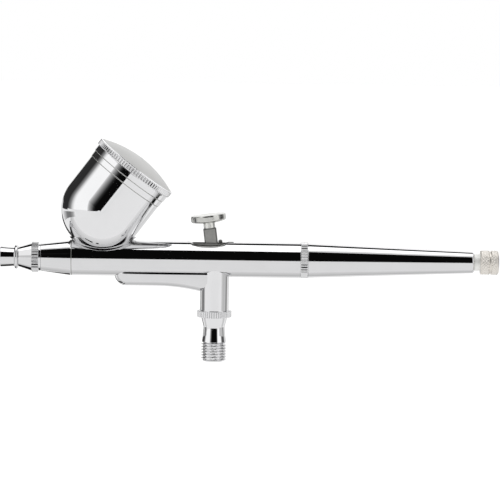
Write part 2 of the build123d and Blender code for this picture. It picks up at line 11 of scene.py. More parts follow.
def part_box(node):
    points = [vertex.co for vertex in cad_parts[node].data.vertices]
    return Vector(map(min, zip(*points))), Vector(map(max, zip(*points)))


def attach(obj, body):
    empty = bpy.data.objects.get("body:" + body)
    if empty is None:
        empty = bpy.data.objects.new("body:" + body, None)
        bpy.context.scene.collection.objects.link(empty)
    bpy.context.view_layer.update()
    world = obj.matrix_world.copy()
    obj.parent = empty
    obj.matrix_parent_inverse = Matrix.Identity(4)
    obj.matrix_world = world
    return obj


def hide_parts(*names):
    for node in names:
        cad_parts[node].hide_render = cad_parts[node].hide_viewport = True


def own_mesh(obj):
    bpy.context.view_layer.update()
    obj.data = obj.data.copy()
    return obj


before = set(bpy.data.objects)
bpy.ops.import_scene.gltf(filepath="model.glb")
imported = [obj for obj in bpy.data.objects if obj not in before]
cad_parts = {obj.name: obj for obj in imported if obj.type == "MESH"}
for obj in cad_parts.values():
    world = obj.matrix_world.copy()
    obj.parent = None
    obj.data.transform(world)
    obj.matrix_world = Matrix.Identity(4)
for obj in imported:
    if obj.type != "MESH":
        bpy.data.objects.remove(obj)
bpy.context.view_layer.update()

bl_info = {
    "name": "Airbrush",
    "version": (1, 0, 0),
    "blender": (4, 5, 0),
    "location": "3D View > Sidebar > Airbrush",
    "description": "Builds a gravity-feed airbrush and its studio around the measured model",
    "category": "Add Mesh",
}

MM = 0.001
TURN = 2 * math.pi


def linear(code):
    """Turns an sRGB hex colour to linear light, as (r, g, b, 1)."""
    parts = [int(code[i : i + 2], 16) / 255 for i in (1, 3, 5)]
    return tuple(c / 12.92 if c <= 0.04045 else ((c + 0.055) / 1.055) ** 2.4 for c in parts) + (1.0,)


def reach(node, axis):
    """Lowest and highest place of a CAD node along axis 0, 1 or 2, in millimetres."""
    low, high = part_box(node)
    return low[axis] / MM, high[axis] / MM


# ---- the object's axes, in millimetres ----
BARREL_Z = sum(reach("main_body", 2)) / 2
BARREL_R = (reach("main_body", 2)[1] - reach("main_body", 2)[0]) / 2
HANDLE_X, HANDLE_END_X = reach("handle", 0)
HANDLE_R = (reach("handle", 2)[1] - reach("handle", 2)[0]) / 2
BODY_FRONT_X = reach("main_body", 0)[0]
RING_X = HANDLE_X - (reach("rear_ring", 0)[1] - reach("rear_ring", 0)[0])
CAP_FRONT_X, CAP_REAR_X = reach("needle_cap", 0)
CAP_R = reach("needle_cap", 1)[1]
LOCK_X, KNOB_X = reach("lock_ring", 0)
KNOB_END_X = reach("stop_knob", 0)[1]
KNOB_R = reach("lock_ring", 2)[1] - BARREL_Z
NOZZLE_RING_R = reach("nozzle_cap", 1)[1]
CUP_X = sum(reach("cup_collar", 0)) / 2
CONNECTOR_R = reach("hose_connector", 1)[1]
STEM_END_Z = reach("valve_stem", 2)[0] - BARREL_Z
LID_R = reach("cup_lid", 1)[1]
BUTTON_R = reach("trigger_button", 1)[1]
CUP_RIM = 15.9  # the cup's rim, above the centre of its round bottom
SOCKET_R = 4.65  # the bore of the rear ring and of the handle's front


def place(start, along, side):
    """A start point with three square unit vectors: along, side, and their cross product."""
    along, side = (np.array(v, float) / np.linalg.norm(v) for v in (along, side))
    return np.array(start, float), along, side, np.cross(along, side)


def barrel_place():
    """The barrel's axis, with along measured from the valve's axis to the handle."""
    return place((0, 0, BARREL_Z), (1, 0, 0), (0, 0, 1))


def valve_place():
    """The valve's upright axis, with along measured up from the barrel's axis."""
    return place((0, 0, BARREL_Z), (0, 0, 1), (1, 0, 0))


def cup_place(sizes):
    """The cup's leaning axis, with along measured from the centre of its round bottom."""
    t = sizes.cup_tilt
    start = (CUP_X, 0, BARREL_Z + sizes.cup_height / MM)
    return place(start, (math.sin(t), 0, math.cos(t)), (math.cos(t), 0, -math.sin(t)))


def trigger_place(sizes):
    """The trigger's leaning axis, with along measured up from its pivot."""
    t, pivot_down = sizes.trigger_lean, 4.4
    return place((0, 0, BARREL_Z - pivot_down), (-math.sin(t), 0, math.cos(t)), (math.cos(t), 0, math.sin(t)))


# ---- outlines ----
def rounded(points, radius, closed=True, steps=5):
    """Rounds an outline's corners: between a cut A before a corner P and a cut B after it runs
    (1-s)^2 A + 2s(1-s) P + s^2 B, with one more point outside each cut to hold the straight side.
    Further columns, such as a knurl's weight, are carried along."""
    p = np.array(points, float)
    back, ahead = np.roll(p, 1, axis=0) - p, np.roll(p, -1, axis=0) - p
    back_length = np.linalg.norm(back[:, :2], axis=1)
    ahead_length = np.linalg.norm(ahead[:, :2], axis=1)
    cut = np.minimum(radius, 0.42 * np.minimum(back_length, ahead_length))
    to_back = back * (cut / back_length)[:, None]
    to_ahead = ahead * (cut / ahead_length)[:, None]
    s = np.linspace(0, 1, steps)[None, :, None]
    a, b, q = (p + to_back)[:, None], (p + to_ahead)[:, None], p[:, None]
    curve = (1 - s) ** 2 * a + 2 * s * (1 - s) * q + s**2 * b
    full = np.concatenate([(p + 1.15 * to_back)[:, None], curve, (p + 1.15 * to_ahead)[:, None]], axis=1)
    if closed:
        return np.concatenate([full.reshape(-1, p.shape[1]), full[0, :1]])
    inner = full[1:-1].reshape(-1, p.shape[1])
    return np.concatenate([p[:1], inner, p[-1:]])


def cap_arc(r_from, r_to, r_end, crown, rise, count=24):
    """A shallow ball cap: along = crown - (ball - sqrt(ball^2 - r^2)), where the ball's radius is
    (r_end^2 + rise^2) / 2 rise."""
    ball = (r_end**2 + rise**2) / (2 * rise)
    r = np.linspace(r_from, r_to, count)
    return np.stack([crown - ball + np.sqrt(ball**2 - r**2), r], axis=1)


def weighted(points, weight=0.0):
    """An outline with the same knurl weight at each of its points."""
    points = np.array(points, float)
    return np.concatenate([points, np.full((len(points), 1), weight)], axis=1)


def evenly(start, end, count):
    """count points in a straight run from start to end, both included."""
    s = np.linspace(0, 1, count)[:, None]
    return (1 - s) * np.array(start, float) + s * np.array(end, float)


def knurled(before, start, end, count, after):
    """An outline that takes the knurl in full on the straight run from start to end, and none elsewhere."""
    return np.concatenate([weighted(before), weighted(evenly(start, end, count), 1), weighted(after)])


def ring_band(low, high, inner, low_r, high_r):
    """The closed outline of a thin ring from low to high, between an inner radius and its skin."""
    return weighted([(low, inner), (low, low_r), (high, high_r), (high, inner), (low, inner)])


# ---- surfaces ----
def flutes(count, depth, power=6):
    """Straight knurl: a groove where |cos(count * angle / 2)|^power peaks."""
    return lambda along, angle: -depth * np.abs(np.cos(count * angle / 2)) ** power


def diamonds(count, pitch, depth, power=4):
    """Diamond knurl: the deeper of two crossed families of grooves, each
    |cos((count * angle +- turns) / 2)|^power."""

    def wave(along, angle):
        turns = TURN * along / pitch
        left = np.abs(np.cos((count * angle + turns) / 2))
        right = np.abs(np.cos((count * angle - turns) / 2))
        return -depth * np.maximum(left, right) ** power

    return wave


def screw_ridge(pitch, height):
    """Screw thread: one ridge that climbs a pitch in each turn, with its top and its root cut flat."""

    def wave(along, angle):
        ridge = 0.5 + 0.5 * np.cos(TURN * along / pitch - angle)
        return height * np.clip(1.7 * ridge - 0.25, 0, 1)

    return wave


def turned(outline, where, around=240, wave=None):
    """Carries an (along, radius, weight) outline round an axis:
    point = start + along * axis + (radius + weight * wave) * (cos a * side + sin a * third)."""
    start, axis, side, third = where
    outline = np.array(outline, float)
    angle = np.linspace(0, TURN, around + 1)[None, :]
    along, radius = outline[:, 0][:, None], outline[:, 1][:, None] + 0 * angle
    if wave is not None:
        radius = radius + outline[:, 2][:, None] * wave(along, angle)
    out = (radius * np.cos(angle))[..., None] * side + (radius * np.sin(angle))[..., None] * third
    return start + (along + 0 * angle)[..., None] * axis + out


def coiled(where, along, length, radius, wire, pitch):
    """A round wire carried along a helix, with its ends closed to a point: the wire's centre is
    start + (along + pitch * t / turn) * axis + radius * (cos t * side + sin t * third)."""
    start, axis, side, third = where
    turns = length / pitch
    t = np.linspace(0, turns * TURN, int(turns * 32))[:, None]
    out = np.cos(t) * side + np.sin(t) * third
    centre = start + (along + pitch * t / TURN) * axis + radius * out
    a = np.linspace(0, TURN, 13)[None, :, None]
    ring = centre[:, None] + wire * (np.cos(a) * out[:, None] + np.sin(a) * axis)
    first, last = (np.repeat(centre[end][None, None], 13, axis=1) for end in (0, -1))
    return np.concatenate([first, ring, last])


def corners(rows, columns):
    """The four corner numbers of every cell of a grid of points."""
    n = np.arange(rows * columns).reshape(rows, columns)
    return np.stack([n[:-1, :-1], n[:-1, 1:], n[1:, 1:], n[1:, :-1]], axis=-1).reshape(-1, 4)


def make_piece(name, grids, materials, body="airbrush_body", replaced=(), picks=None):
    """Joins grids of points in millimetres into one closed mesh in metres. Points that coincide become one,
    faces that shrink to a line are dropped, and the shell is turned outwards by the sign of its volume."""
    points, faces, picked, count = [], [], [], 0
    for number, grid in enumerate(grids):
        cells = corners(*grid.shape[:2]) + count
        points.append(grid.reshape(-1, 3))
        faces.append(cells)
        picked.append(np.full(len(cells), picks[number] if picks else 0))
        count += grid.shape[0] * grid.shape[1]
    points, faces, picked = np.concatenate(points), np.concatenate(faces), np.concatenate(picked)
    unique, index = np.unique(np.round(points, 5), axis=0, return_inverse=True)
    faces = index.reshape(-1)[faces]
    fresh = faces != np.roll(faces, 1, axis=1)
    keep = fresh.sum(axis=1) >= 3
    faces, fresh, picked = faces[keep], fresh[keep], picked[keep]
    totals = fresh.sum(axis=1)
    used = np.unique(faces[fresh])
    renumber = np.zeros(len(unique), int)
    renumber[used] = np.arange(len(used))
    co = unique[used] * MM
    a, b, c, d = (co[renumber[faces[:, k]]] for k in range(4))
    volume = np.einsum("ij,ij->", a, np.cross(b, c)) + np.einsum("ij,ij->", a, np.cross(c, d))
    if volume < 0:
        faces, fresh = faces[:, ::-1], (faces[:, ::-1] != np.roll(faces[:, ::-1], 1, axis=1))
    mesh = bpy.data.meshes.new(name)
    mesh.vertices.add(len(co))
    mesh.vertices.foreach_set("co", co.astype(np.float32).ravel())
    mesh.loops.add(int(totals.sum()))
    mesh.loops.foreach_set("vertex_index", renumber[faces[fresh]].astype(np.int32))
    mesh.polygons.add(len(faces))
    starts = np.concatenate([[0], np.cumsum(totals)[:-1]])
    mesh.polygons.foreach_set("loop_start", starts.astype(np.int32))
    mesh.polygons.foreach_set("material_index", picked.astype(np.int32))
    mesh.polygons.foreach_set("use_smooth", np.ones(len(faces), bool))
    mesh.update(calc_edges=True)
    if mesh.validate(verbose=False):
        print("repaired", name)
    crease = math.radians(32)
    mesh.set_sharp_from_angle(angle=crease)
    piece = bpy.data.objects.new(name, mesh)
    bpy.context.scene.collection.objects.link(piece)
    for material in materials:
        mesh.materials.append(bpy.data.materials[material])
    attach(piece, body)
    if replaced:
        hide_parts(*replaced)
    return piece


# ---- finishes ----
def add_node(tree, kind, settings=None, links=None, **inputs):
    """Adds a node, sets its settings and input values (an underscore stands for a space), and links
    its inputs."""
    node = tree.nodes.new(kind)
    for key, value in (settings or {}).items():
        setattr(node, key, value)
    for key, value in inputs.items():
        node.inputs[key.replace("_", " ")].default_value = value
    for key, source in (links or {}).items():
        tree.links.new(source, node.inputs[key])
    return node


def new_finish(name):
    """An empty material's tree, its Object coordinates, and its Principled shader, already linked to
    the output."""
    material = bpy.data.materials.new(name)
    material.use_nodes = True
    tree = material.node_tree
    tree.nodes.clear()
    shader = add_node(tree, "ShaderNodeBsdfPrincipled")
    add_node(tree, "ShaderNodeOutputMaterial", links={"Surface": shader.outputs["BSDF"]})
    coordinates = add_node(tree, "ShaderNodeTexCoord").outputs["Object"]
    return tree, coordinates, shader


def turn_marks(tree, coordinates, centre, rotation, fine, long):
    """Noise drawn out round an axis: fine metres between lines along the mapped Z axis, long metres
    across it."""
    mapping = add_node(
        tree,
        "ShaderNodeMapping",
        {"vector_type": "TEXTURE"},
        {"Vector": coordinates},
        Location=centre,
        Rotation=rotation,
        Scale=(long, long, fine),
    )
    source = {"Vector": mapping.outputs["Vector"]}
    return add_node(tree, "ShaderNodeTexNoise", links=source, Scale=1.0, Detail=3.0)


def patches(tree, coordinates, size, detail=2.0):
    """Soft noise with blobs about size metres across."""
    return add_node(tree, "ShaderNodeTexNoise", links={"Vector": coordinates}, Scale=1 / size, Detail=detail)


def spread(tree, source, low, high, start=0.3, end=0.7):
    """Maps a pattern's middle range to low ... high."""
    ends = {"From_Min": start, "From_Max": end, "To_Min": low, "To_Max": high}
    return add_node(tree, "ShaderNodeMapRange", links={"Value": source}, **ends).outputs["Result"]


def blend_colours(tree, factor, dark, light):
    """Mixes two colours by a pattern."""
    node = add_node(tree, "ShaderNodeMix", {"data_type": "RGBA"}, {0: factor})
    node.inputs[6].default_value, node.inputs[7].default_value = dark, light
    return node.outputs[2]


def shade_metal(tree, shader, colour, roughness, normal):
    """Sets a metal's shader: full metallic, with its colour, roughness and surface relief."""
    shader.inputs["Metallic"].default_value = 1.0
    tree.links.new(colour, shader.inputs["Base Color"])
    tree.links.new(roughness, shader.inputs["Roughness"])
    tree.links.new(normal, shader.inputs["Normal"])


def scaled(colour, factor):
    """A colour made lighter or darker in linear light."""
    return tuple(min(1.0, c * factor) for c in colour[:3]) + (1.0,)


def chrome_plate(name, colour, centre, rotation):
    """Chromium plate over polished brass: a clear mirror. Buffing leaves faint lines about 0.15 mm apart
    round each turned part, and handling leaves slightly duller patches about 6 mm across."""
    tree, coordinates, shader = new_finish(name)
    lines = turn_marks(tree, coordinates, centre, rotation, fine=0.15 * MM, long=9 * MM).outputs["Fac"]
    smears = patches(tree, coordinates, 6 * MM).outputs["Fac"]
    tint = blend_colours(tree, spread(tree, smears, 0, 1), scaled(colour, 0.985), scaled(colour, 1.01))
    bump = add_node(tree, "ShaderNodeBump", links={"Height": lines}, Strength=0.05, Distance=0.0015 * MM)
    shade_metal(tree, shader, tint, spread(tree, smears, 0.02, 0.06), bump.outputs["Normal"])


def satin_nickel(name, colour, centre, rotation, rough):
    """Satin nickel plate over bead-blasted brass: broad soft reflections, with lathe lines about 0.12 mm
    apart, grains about 0.08 mm across and slow clouds about 4 mm across."""
    tree, coordinates, shader = new_finish(name)
    lines = turn_marks(tree, coordinates, centre, rotation, fine=0.12 * MM, long=5 * MM).outputs["Fac"]
    grain = patches(tree, coordinates, 0.08 * MM, 3.0).outputs["Fac"]
    both = add_node(tree, "ShaderNodeMath", {"operation": "ADD"})
    tree.links.new(lines, both.inputs[0])
    tree.links.new(grain, both.inputs[1])
    cloud = patches(tree, coordinates, 4 * MM).outputs["Fac"]
    tint = blend_colours(tree, spread(tree, cloud, 0, 1), scaled(colour, 0.94), scaled(colour, 1.03))
    bump = add_node(
        tree, "ShaderNodeBump", links={"Height": both.outputs[0]}, Strength=0.35, Distance=0.004 * MM
    )
    shade_metal(tree, shader, tint, spread(tree, cloud, rough - 0.05, rough + 0.06), bump.outputs["Normal"])


def tumbled_steel(name, colour, rough=0.36, lean=None):
    """Stainless steel tumbled in ceramic chips: even grey, with random pits about 0.12 mm across and
    clouds about 1.6 mm across. On the leaning trigger each edge gets painted shade from 1.55 mm off the
    middle, and so does the corner 14.1 to 14.8 mm above the pivot, while the neck above that gets a
    painted highlight."""
    tree, coordinates, shader = new_finish(name)
    pits = patches(tree, coordinates, 0.12 * MM, 4.0).outputs["Fac"]
    cloud = patches(tree, coordinates, 1.6 * MM).outputs["Fac"]
    tint = blend_colours(tree, spread(tree, cloud, 0, 1), scaled(colour, 0.88), scaled(colour, 1.08))
    if lean is not None:
        start = tuple(trigger_place(bpy.context.scene.airbrush_sizes)[0] * MM)
        local = add_node(
            tree,
            "ShaderNodeMapping",
            {"vector_type": "TEXTURE"},
            {"Vector": coordinates},
            Location=start,
            Rotation=(0, -lean, 0),
        )
        place_on = add_node(tree, "ShaderNodeSeparateXYZ", links={"Vector": local.outputs["Vector"]})
        across = {0: place_on.outputs["X"]}
        away = add_node(tree, "ShaderNodeMath", {"operation": "ABSOLUTE"}, across).outputs[0]
        neck = spread(tree, place_on.outputs["Z"], 0, 1, 14.5 * MM, 14.8 * MM)
        step = spread(tree, place_on.outputs["Z"], 0, 1, 14.1 * MM, 14.4 * MM)
        below = add_node(tree, "ShaderNodeMath", {"operation": "SUBTRACT"}, {0: step, 1: neck}).outputs[0]
        edge = spread(tree, away, 0, 1, 1.55 * MM, 2.05 * MM)
        # painted highlight on the neck (1.9), painted shade on the step's corner (0.35) and on each edge
        # (0.3)
        for share, level in ((neck, 1.9), (below, 0.35), (edge, 0.3)):
            mix = add_node(tree, "ShaderNodeMix", {"data_type": "RGBA"}, {0: share, 6: tint})
            mix.inputs[7].default_value = scaled(colour, level)
            tint = mix.outputs[2]
    bump = add_node(tree, "ShaderNodeBump", links={"Height": pits}, Strength=0.5, Distance=0.006 * MM)
    shade_metal(tree, shader, tint, spread(tree, cloud, rough - 0.06, rough + 0.08), bump.outputs["Normal"])


def bare_brass(name, colour):
    """Free-cutting brass straight from the lathe: yellow, with lines about 0.1 mm apart and a little
    tarnish."""
    tree, coordinates, shader = new_finish(name)
    centre, rotation = (0, 0, BARREL_Z * MM), (0, math.pi / 2, 0)
    lines = turn_marks(tree, coordinates, centre, rotation, fine=0.1 * MM, long=4 * MM).outputs["Fac"]
    tarnish = patches(tree, coordinates, 3 * MM, 4.0).outputs["Fac"]
    tint = blend_colours(tree, spread(tree, tarnish, 0, 1), scaled(colour, 0.75), scaled(colour, 1.05))
    bump = add_node(tree, "ShaderNodeBump", links={"Height": lines}, Strength=0.3, Distance=0.003 * MM)
    shade_metal(tree, shader, tint, spread(tree, tarnish, 0.32, 0.2), bump.outputs["Normal"])


def drawn_wire(name, colour):
    """Spring wire, cold drawn: grey, smooth, with darker streaks about 0.3 mm across."""
    tree, coordinates, shader = new_finish(name)
    streaks = patches(tree, coordinates, 0.3 * MM, 3.0).outputs["Fac"]
    tint = blend_colours(tree, spread(tree, streaks, 0, 1), scaled(colour, 0.7), scaled(colour, 1.1))
    bump = add_node(tree, "ShaderNodeBump", links={"Height": streaks}, Strength=0.2, Distance=0.003 * MM)
    shade_metal(tree, shader, tint, spread(tree, streaks, 0.25, 0.38), bump.outputs["Normal"])


def soft_part(name, colour, rough, grain):
    """Moulded rubber or fluoropolymer: no metal, an even skin with grains of the given size in metres."""
    tree, coordinates, shader = new_finish(name)
    skin = patches(tree, coordinates, grain, 3.0).outputs["Fac"]
    tint = blend_colours(tree, spread(tree, skin, 0, 1), scaled(colour, 0.85), scaled(colour, 1.1))
    bump = add_node(tree, "ShaderNodeBump", links={"Height": skin}, Strength=0.4, Distance=0.005 * MM)
    tree.links.new(tint, shader.inputs["Base Color"])
    tree.links.new(spread(tree, skin, rough - 0.05, rough + 0.08), shader.inputs["Roughness"])
    tree.links.new(bump.outputs["Normal"], shader.inputs["Normal"])


# ---- what a user would change ----
ANGLE = {"subtype": "ANGLE", "unit": "ROTATION"}
LENGTH = {"subtype": "DISTANCE", "unit": "LENGTH"}
COLOUR = {"subtype": "COLOR", "size": 4, "min": 0, "max": 1}


class AirbrushSizes(bpy.types.PropertyGroup):
    cup_tilt: FloatProperty(
        name="Cup tilt",
        description="Lean of the cup from upright, towards the handle",
        default=math.radians(37.2),
        **ANGLE,
    )
    cup_height: FloatProperty(
        name="Cup height",
        description="Centre of the cup's round bottom above the barrel's axis",
        default=15.85 * MM,
        **LENGTH,
        precision=5,
    )
    trigger_lean: FloatProperty(
        name="Trigger lean",
        description="Lean of the trigger from upright, towards the nozzle",
        default=math.radians(7.3),
        **ANGLE,
    )
    thread_pitch: FloatProperty(
        name="Thread pitch", description="Pitch of the hose thread", default=0.907 * MM, **LENGTH, precision=6
    )
    knurl_depth: FloatProperty(
        name="Knurl depth", description="Depth of the cut knurls", default=0.16 * MM, **LENGTH, precision=6
    )


class AirbrushFinishes(bpy.types.PropertyGroup):
    chrome: FloatVectorProperty(
        name="Chrome", description="Colour of the chromium plate", default=linear("#DADADB"), **COLOUR
    )
    satin: FloatVectorProperty(
        name="Lid", description="Colour of the lid's satin nickel", default=linear("#C6C6C5"), **COLOUR
    )
    knob: FloatVectorProperty(
        name="Knob", description="Colour of the stop knob's satin nickel", default=linear("#E2DED8"), **COLOUR
    )
    steel: FloatVectorProperty(
        name="Trigger",
        description="Colour of the trigger's stainless steel",
        default=linear("#A9A9A6"),
        **COLOUR,
    )
    brass: FloatVectorProperty(
        name="Brass", description="Colour of the inner brass parts", default=linear("#D8BE85"), **COLOUR
    )
    wire: FloatVectorProperty(
        name="Springs", description="Colour of the spring wire", default=linear("#A2A2A4"), **COLOUR
    )
    rubber: FloatVectorProperty(
        name="Rubber", description="Colour of the o-rings", default=linear("#1E1E1E"), **COLOUR
    )
    ptfe: FloatVectorProperty(
        name="Packing",
        description="Colour of the fluoropolymer packing and seal",
        default=linear("#EDEDE8"),
        **COLOUR,
    )


class AirbrushStudio(bpy.types.PropertyGroup):
    elevation: FloatProperty(
        name="Camera height",
        description="Angle of the camera above the object",
        default=math.radians(5.0),
        **ANGLE,
    )
    roll: FloatProperty(
        name="Camera roll",
        description="Turn of the camera about its own line of sight",
        default=math.radians(0.76),
        **ANGLE,
    )
    distance: FloatProperty(
        name="Camera distance", description="Distance of the camera from the object", default=1.2, **LENGTH
    )
    field: FloatProperty(
        name="Field width",
        description="Width that the camera sees at the object",
        default=162.34 * MM,
        **LENGTH,
        precision=5,
    )
    softbox: FloatProperty(
        name="Softbox", description="Brightness of the white boxes in the reflections", default=2.0
    )
    floor_drop: FloatProperty(
        name="Floor drop", description="Depth of the floor below the object", default=0.25, **LENGTH
    )


class AIRBRUSH_OT_finishes(bpy.types.Operator):
    """Make every finish and give the kept CAD parts theirs"""

    bl_idname = "airbrush.finishes"
    bl_label = "Finishes"

    def execute(self, context):
        colours, sizes = context.scene.airbrush_finishes, context.scene.airbrush_sizes
        barrel = (0, 0, BARREL_Z * MM)
        level, tilted = (0, math.pi / 2, 0), (0, sizes.cup_tilt, 0)
        cup = tuple(cup_place(sizes)[0] * MM)
        chrome = tuple(colours.chrome)
        # plated barrel, head and handle: a mirror that carries the long black and white bands, with its
        # colour darkened to 0.9 of the plate as painted shade
        chrome_plate("chrome_plate_barrel_painted_shade", scaled(chrome, 0.9), barrel, level)
        # the same plate on the valve and the hose connector, with its buffing lines round the upright axis
        chrome_plate("chrome_plate_valve", chrome, barrel, (0, 0, 0))
        # the same plate on the cup, with its buffing lines round the leaning axis
        chrome_plate("chrome_plate_cup", chrome, cup, tilted)
        # the lid's blasted nickel: a soft grey disc above the bright cup
        satin_nickel("satin_nickel_lid", tuple(colours.satin), cup, tilted, rough=0.5)
        # the stop knob's blasted nickel: pale, with a knurl that catches the light
        satin_nickel("satin_nickel_knob", tuple(colours.knob), barrel, level, rough=0.4)
        # the scoops' satin milled metal, darker than the mirror round it: its dark colour is painted shade in
        # the recess
        satin_nickel("milled_dish_painted_shade", scaled(tuple(colours.steel), 0.62), barrel, level, rough=0.3)
        # painted shade in fine grooves: a thin dull line that parts two bright bands
        satin_nickel("groove_painted_shade", scaled(tuple(colours.steel), 0.9), cup, tilted, rough=0.5)
        # the stop screw's blasted neck: a pale ring between the handle and the knob
        satin_nickel("satin_nickel_neck", linear("#F4F4F2"), barrel, level, rough=0.7)
        # the trigger's stem, the lever and the pins: grey and grainy beside the chrome, with painted shade on
        # the trigger's edges and step corner and a painted highlight on its neck
        tumbled_steel("tumbled_stainless", tuple(colours.steel), lean=sizes.trigger_lean)
        # the needle's polished steel: a narrow bright line
        tumbled_steel("polished_stainless", scaled(tuple(colours.steel), 1.5), rough=0.16)
        # the finger button's burnished steel: brighter than the stem, softer than the plate
        tumbled_steel("burnished_steel", scaled(tuple(colours.steel), 1.3), rough=0.1)
        # the inner turned parts: warm yellow against all the greys
        bare_brass("turned_brass", tuple(colours.brass))
        # the springs' wire: smooth grey with dark streaks
        drawn_wire("spring_wire", tuple(colours.wire))
        # the o-rings: dull black
        soft_part("nitrile_rubber", tuple(colours.rubber), rough=0.5, grain=0.3 * MM)
        # the packing and the nozzle's seal: waxy white
        soft_part("white_ptfe", tuple(colours.ptfe), rough=0.45, grain=0.6 * MM)
        kept = {
            "chrome_plate_barrel_painted_shade": ("main_body", "air_fairing", "cup_collar"),
            "chrome_plate_valve": ("valve_stem",),
            "chrome_plate_cup": ("paint_cup",),
            "tumbled_stainless": ("trigger_stem", "auxiliary_lever", "lever_pin", "trigger_pin"),
            "polished_stainless": ("needle",),
            "turned_brass": (
                "nozzle",
                "air_plunger",
                "valve_plug",
                "valve_spring_screw",
                "packing_screw",
                "needle_tube",
                "chuck_nut",
                "spring_case",
            ),
            "nitrile_rubber": ("head_o_ring", "plunger_o_ring", "valve_seal", "stop_o_ring"),
            "white_ptfe": ("needle_packing", "nozzle_seal"),
            "satin_nickel_neck": ("stop_screw",),
        }
        for finish, nodes in kept.items():
            for node in nodes:
                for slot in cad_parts[node].material_slots:
                    slot.material = bpy.data.materials[finish]
        return {"FINISHED"}


class AIRBRUSH_OT_head(bpy.types.Operator):
    """Build the needle cap, the nozzle cap and, where the body's front is screwed on, a thin seam ring of
    painted shade
    """

    bl_idname = "airbrush.head"
    bl_label = "Head"

    def execute(self, context):
        depth = context.scene.airbrush_sizes.knurl_depth / MM
        x, r = CAP_FRONT_X, CAP_R
        cap = rounded(
            [
                (x + 0.1, r - 1.15),
                (x, r - 0.85),
                (x + 0.12, r - 0.58),
                (x + 4.62, r - 0.9),
                (x + 4.72, r - 0.3),
                (x + 5.0, r),
                (x + 5.45, r),
                (x + 5.74, r - 0.3),
                (x + 5.82, r - 0.72),
                (x + 5.9, r - 0.78),
                (x + 5.9, r - 1.65),
                (x + 3.7, r - 1.65),
                (x + 3.7, r - 2.4),
                (x + 3.2, r - 2.4),
                (x + 2.6, r - 1.5),
            ],
            0.16,
        )
        make_piece(
            "needle_guard", [turned(cap, barrel_place())], ["chrome_plate_barrel_painted_shade"], replaced=["needle_cap"]
        )
        front, rear, ring = CAP_REAR_X + 4.4, CAP_REAR_X + 6.5, NOZZLE_RING_R
        nozzle = rounded(
            [
                (CAP_REAR_X - 2.2, 0.8, 0),
                (CAP_REAR_X - 2.2, 2.2, 0),
                (CAP_REAR_X, 2.2, 0),
                (CAP_REAR_X, 3.15, 0),
                (front - 0.08, 4.56, 0),
                (front - 0.02, 4.6, 0),
                (front, ring, 1),
                (rear, ring, 1),
                (rear + 0.02, 4.6, 0),
                (rear + 0.08, 4.42, 0),
                (BODY_FRONT_X, 4.42, 0),
                (BODY_FRONT_X, 3.5, 0),
                (BODY_FRONT_X + 3.1, 3.5, 0),
                (BODY_FRONT_X + 3.1, 2.6, 0),
                (CAP_REAR_X + 4.2, 2.6, 0),
                (CAP_REAR_X - 1.2, 0.8, 0),
            ],
            0.09,
        )
        grid = turned(nozzle, barrel_place(), around=432, wave=flutes(28, depth=2.6 * depth, power=3))
        make_piece("nozzle_cover", [grid], ["chrome_plate_barrel_painted_shade"], replaced=["nozzle_cap"])
        # the seam: a thin ring whose dark grey is painted shade
        seam_x, r = BODY_FRONT_X + 10.0, BARREL_R
        seam = ring_band(seam_x - 0.12, seam_x + 0.12, r - 0.2, r, r + 0.012)
        make_piece("body_seam", [turned(seam, barrel_place(), around=300)], ["groove_painted_shade"])
        return {"FINISHED"}


class AIRBRUSH_OT_lid(bpy.types.Operator):
    """Build the cup's domed lid with its ribbed edge"""

    bl_idname = "airbrush.lid"
    bl_label = "Cup lid"

    def execute(self, context):
        sizes = context.scene.airbrush_sizes
        rim, edge, rise, skirt, vent_r = CUP_RIM, 1.95, 2.9, 2.0, 0.6
        dome_r, skirt_r, hollow_r = LID_R - 0.4, 12.5, 11.8
        crown, ceiling = rim + edge + rise, rim + edge + 2.0
        dome = cap_arc(vent_r + 0.1, dome_r - 0.25, dome_r, crown, rise, 40)
        hollow = cap_arc(hollow_r, vent_r, hollow_r, ceiling, 3.05, 24)
        edge_band = rounded(
            [
                (rim + edge + 0.12, dome_r - 0.12, 0),
                (rim + edge + 0.02, dome_r + 0.08, 0),
                (rim + edge - 0.1, LID_R, 0.3),
                (rim + edge - 0.35, LID_R, 1),
                (rim + 0.35, LID_R, 1),
                (rim + 0.08, LID_R, 0.3),
                (rim, LID_R - 0.25, 0),
                (rim, skirt_r, 0),
                (rim - skirt, skirt_r, 0),
                (rim - skirt, hollow_r, 0),
                (hollow[0, 0], hollow_r, 0),
            ],
            0.07,
            closed=False,
        )
        vent = weighted([(crown - 0.12, vent_r), (crown - 0.02, vent_r + 0.03)])
        top = np.concatenate([vent, weighted(dome), edge_band[:1]])
        inside = np.concatenate([edge_band[-1:], weighted(hollow), top[:1]])
        where, ribs = cup_place(sizes), flutes(90, depth=0.34, power=3)
        grids = [turned(part, where, around=900, wave=ribs) for part in (top, edge_band, inside)]
        make_piece(
            "lid_dome",
            grids,
            ["satin_nickel_lid", "chrome_plate_cup"],
            "lid",
            ["cup_lid"],
            picks=[0, 1, 0],
        )
        return {"FINISHED"}


